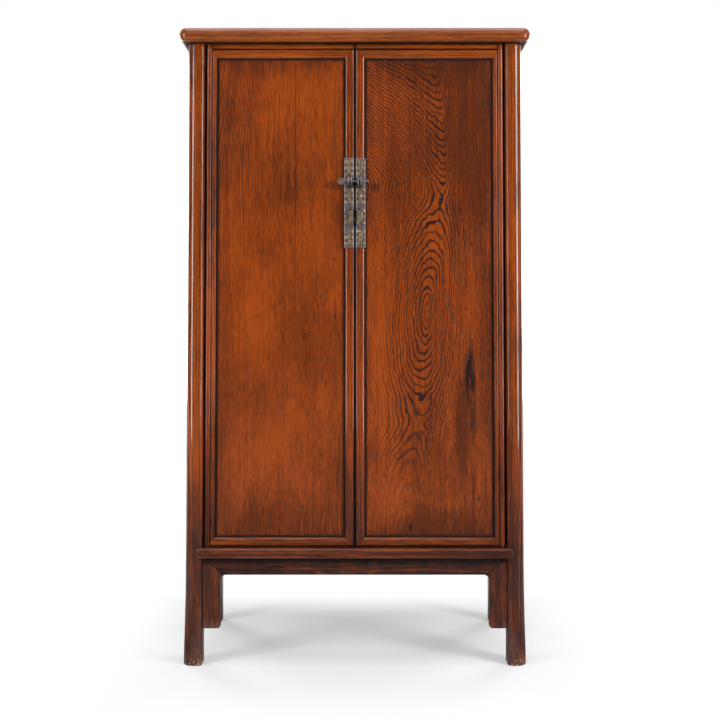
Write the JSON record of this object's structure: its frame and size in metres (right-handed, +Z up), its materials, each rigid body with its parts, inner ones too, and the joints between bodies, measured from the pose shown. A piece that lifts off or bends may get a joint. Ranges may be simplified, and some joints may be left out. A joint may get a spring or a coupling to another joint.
{
  "type": "tapered cabinet",
  "caption": "Tall tapered wooden cabinet with panelled doors on wooden pivots, a moulded top, leaning round-cornered posts, aprons, and brass plates with a lock pin and pendant pulls.",
  "frame": {"origin": "on the floor, under the middle of the top frame", "axes": "+Z up, the doors face -Y, +X to the right of someone who faces the doors"},
  "size_m": [0.99, 0.53, 1.8],
  "materials": {
    "door_wood": "orange-brown stained elm with bold ring-porous grain under a polished lacquer",
    "frame_wood": "darker red-brown stained elm, polished, worn paler on the arrises",
    "inner_wood": "plain dry wood inside and at the back, waxed thinly",
    "aged_brass": "aged grey-brown brass with worn golden relief"
  },
  "bodies": {
    "carcass": {"back_apron": "inner_wood", "back_left_board": "inner_wood", "back_left_post": "frame_wood", "back_lower_rail": "inner_wood", "back_muntin": "inner_wood", "back_right_board": "inner_wood", "back_right_post": "frame_wood", "door_head_strip": "frame_wood", "floor_panel": "inner_wood", "front_apron": "frame_wood", "front_apron_left_spandrel": "frame_wood", "front_apron_right_spandrel": "frame_wood", "front_left_post": "frame_wood", "front_right_post": "frame_wood", "front_sill_rail": "frame_wood", "left_apron": "frame_wood", "left_apron_back_spandrel": "frame_wood", "left_apron_front_spandrel": "frame_wood", "left_lower_bearer": "inner_wood", "left_lower_rail": "frame_wood", "left_side_panel": "frame_wood", "left_upper_bearer": "inner_wood", "lower_shelf": "inner_wood", "right_apron": "frame_wood", "right_apron_back_spandrel": "frame_wood", "right_apron_front_spandrel": "frame_wood", "right_lower_bearer": "inner_wood", "right_lower_rail": "frame_wood", "right_side_panel": "frame_wood", "right_upper_bearer": "inner_wood", "top_back_rail": "frame_wood", "top_batten": "inner_wood", "top_front_rail": "frame_wood", "top_left_rail": "frame_wood", "top_panel": "frame_wood", "top_right_rail": "frame_wood", "upper_shelf": "inner_wood"},
    "left_door": {"left_door_bottom_rail": "door_wood", "left_door_lower_batten": "inner_wood", "left_door_meeting_stile": "door_wood", "left_door_panel": "door_wood", "left_door_pivot_stile": "door_wood", "left_door_top_rail": "door_wood", "left_door_upper_batten": "inner_wood", "left_face_plate": "aged_brass", "left_lock_lug": "aged_brass", "left_pull_eye": "aged_brass"},
    "right_door": {"right_door_bottom_rail": "door_wood", "right_door_lower_batten": "inner_wood", "right_door_meeting_stile": "door_wood", "right_door_panel": "door_wood", "right_door_pivot_stile": "door_wood", "right_door_top_rail": "door_wood", "right_door_upper_batten": "inner_wood", "right_face_plate": "aged_brass", "right_lock_lug": "aged_brass", "right_pull_eye": "aged_brass"},
    "lock_pin": {"lock_pin": "aged_brass"},
    "left_pull": {"left_pull": "aged_brass"},
    "right_pull": {"right_pull": "aged_brass"}
  },
  "joints": [
    {"name": "left_door_hinge", "type": "hinge", "parent": "carcass", "child": "left_door", "pos_m": [-0.41948, -0.22031, 0.337], "axis": [-0.0047, -0.0025, -1], "range_deg": [0, 95]},
    {"name": "right_door_hinge", "type": "hinge", "parent": "carcass", "child": "right_door", "pos_m": [0.41948, -0.22031, 0.337], "axis": [-0.0047, 0.0025, 1], "range_deg": [0, 95]},
    {"name": "lock_pin_slide", "type": "slide", "parent": "left_door", "child": "lock_pin", "axis": [-1, 0, 0], "range_m": [0, 0.042]},
    {"name": "left_pull_hinge", "type": "hinge", "parent": "left_door", "child": "left_pull", "pos_m": [-0.01307, -0.23736, 1.2922], "axis": [-1, 0, 0], "range_deg": [0, 80]},
    {"name": "right_pull_hinge", "type": "hinge", "parent": "right_door", "child": "right_pull", "pos_m": [0.01307, -0.23736, 1.2922], "axis": [-1, 0, 0], "range_deg": [0, 80]}
  ]
}
